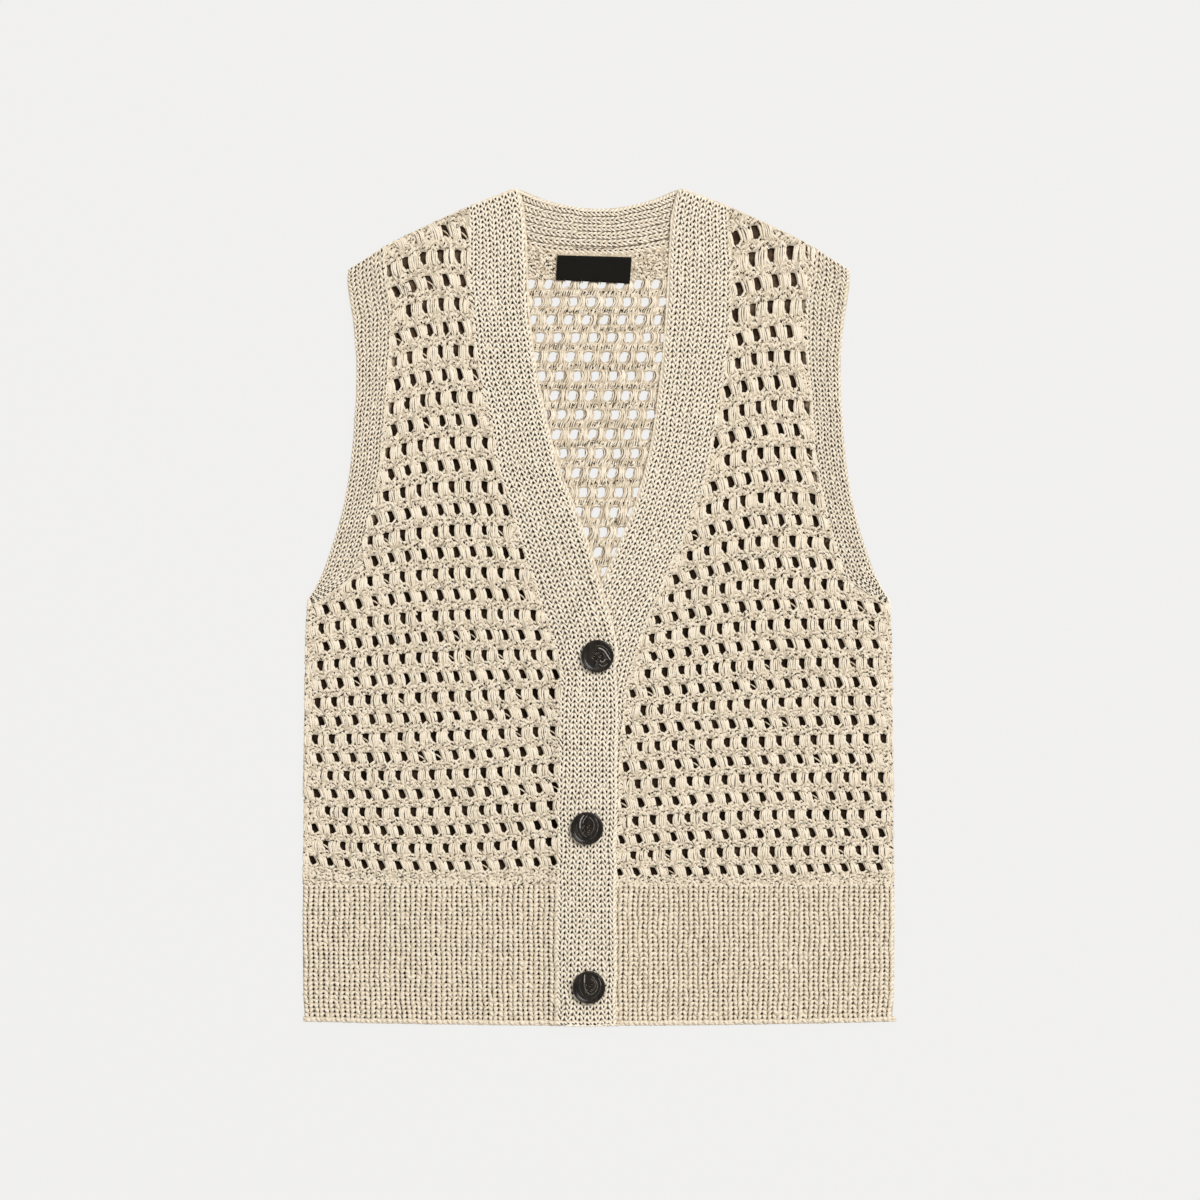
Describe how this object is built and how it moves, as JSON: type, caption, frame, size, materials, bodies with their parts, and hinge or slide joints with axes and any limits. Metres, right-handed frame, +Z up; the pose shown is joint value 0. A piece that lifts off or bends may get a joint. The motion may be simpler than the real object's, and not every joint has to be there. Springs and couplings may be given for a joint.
{
  "type": "buttoned v-neck knit vest, laid flat",
  "caption": "Sleeveless V-neck knit vest with openwork fronts and back, ribbed hem and bands, buttoned down the front and laid flat.",
  "frame": {"origin": "middle of the underside of the vest as it lies, half way along its length and width", "axes": "+Z up off the surface it lies on, +Y from the hem towards the neck, +X to the wearer's left, which is the viewer's right"},
  "size_m": [0.4456, 0.6292, 0.0138],
  "materials": {
    "knit": "openwork cotton knit, matt",
    "ribbing": "close cotton knit, matt",
    "tape": "woven tape, satin",
    "horn": "carved resin, satin gloss"
  },
  "bodies": {
    "root": {"back": "knit", "back_hem": "ribbing", "back_neckband": "ribbing", "front_right": "knit", "front_left": "knit", "front_hem_right": "ribbing", "front_hem_left": "ribbing", "front_band_right": "ribbing", "front_band_left": "ribbing", "armhole_right_back": "ribbing", "armhole_right_front": "ribbing", "armhole_left_back": "ribbing", "armhole_left_front": "ribbing", "label": "tape", "button_top": "horn", "button_middle": "horn", "button_bottom": "horn"}
  },
  "joints": []
}
